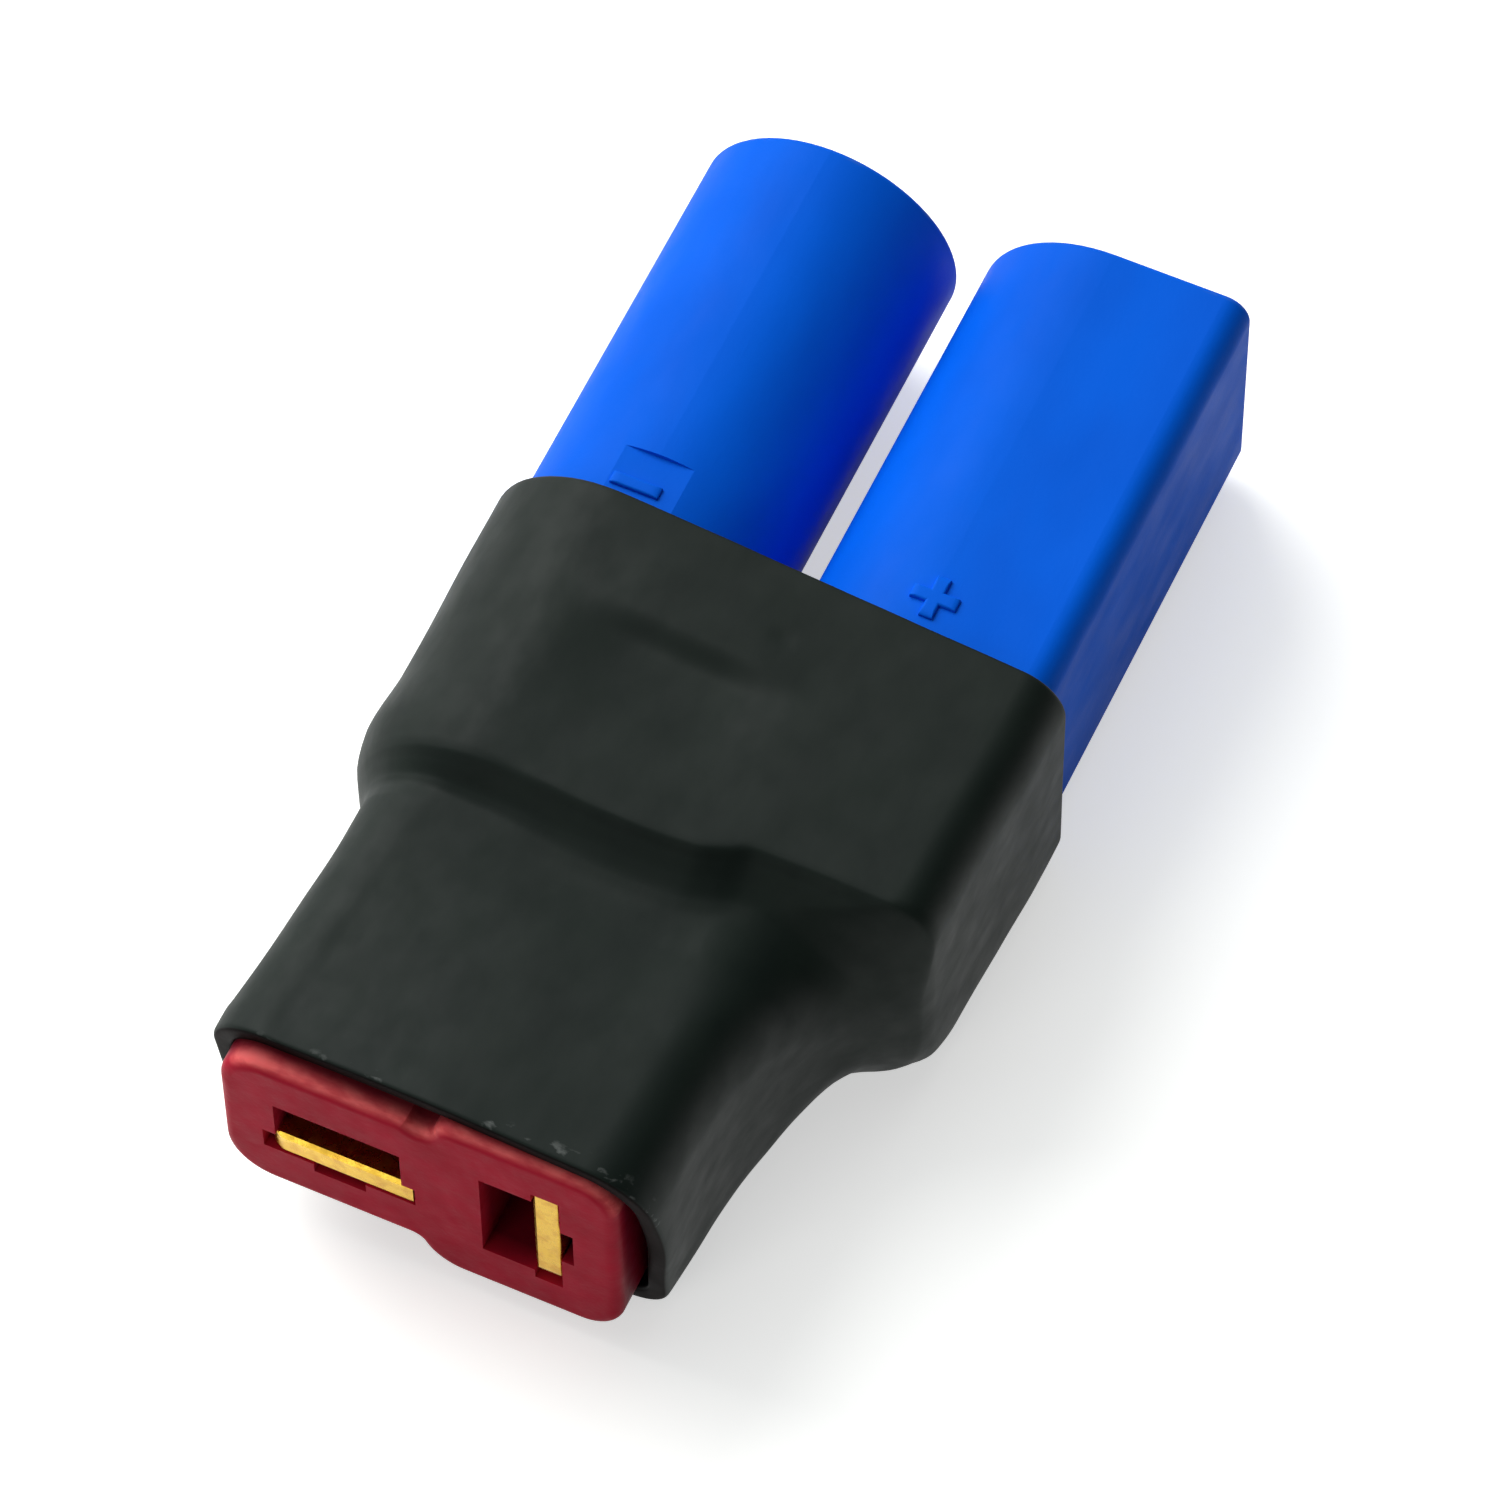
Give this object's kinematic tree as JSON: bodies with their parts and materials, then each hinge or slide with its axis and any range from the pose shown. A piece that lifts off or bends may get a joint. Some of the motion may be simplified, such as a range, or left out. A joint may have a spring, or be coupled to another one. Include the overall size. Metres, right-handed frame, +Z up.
{
  "type": "battery connector adapter",
  "caption": "Battery connector adapter: a blue housing with bullet sockets in free barrels, joined under a black shrunk sleeve to a red plug with a flat-lying and an upright blade contact.",
  "frame": {"origin": "centre of the part's bounding box, on the surface it lies on", "axes": "+X from the plug's face towards the barrels' open ends, +Y towards the round barrel, +Z up out of the surface"},
  "size_m": [0.045, 0.0244, 0.0122],
  "materials": {
    "blue_moulding": "moulded, semi-gloss",
    "red_moulding": "moulded, semi-gloss, slightly see-through at edges",
    "black_sleeve": "shrunk sleeving, matte with a soft sheen",
    "gold_plate": "thin gold plate, smooth",
    "spring_steel": "bare spring steel",
    "tinned_wire": "tinned copper strands",
    "solder": "dull solder"
  },
  "bodies": {
    "root": {"barrel_housing": "blue_moulding", "negative_socket": "gold_plate", "positive_socket": "gold_plate", "plug_housing": "red_moulding", "flat_contact": "gold_plate", "upright_contact": "gold_plate", "flat_contact_spring": "spring_steel", "upright_contact_spring": "spring_steel", "negative_link_wire": "tinned_wire", "positive_link_wire": "tinned_wire", "negative_tab_solder": "solder", "positive_tab_solder": "solder", "negative_cup_solder": "solder", "positive_cup_solder": "solder", "outer_sleeve": "black_sleeve"}
  },
  "joints": []
}
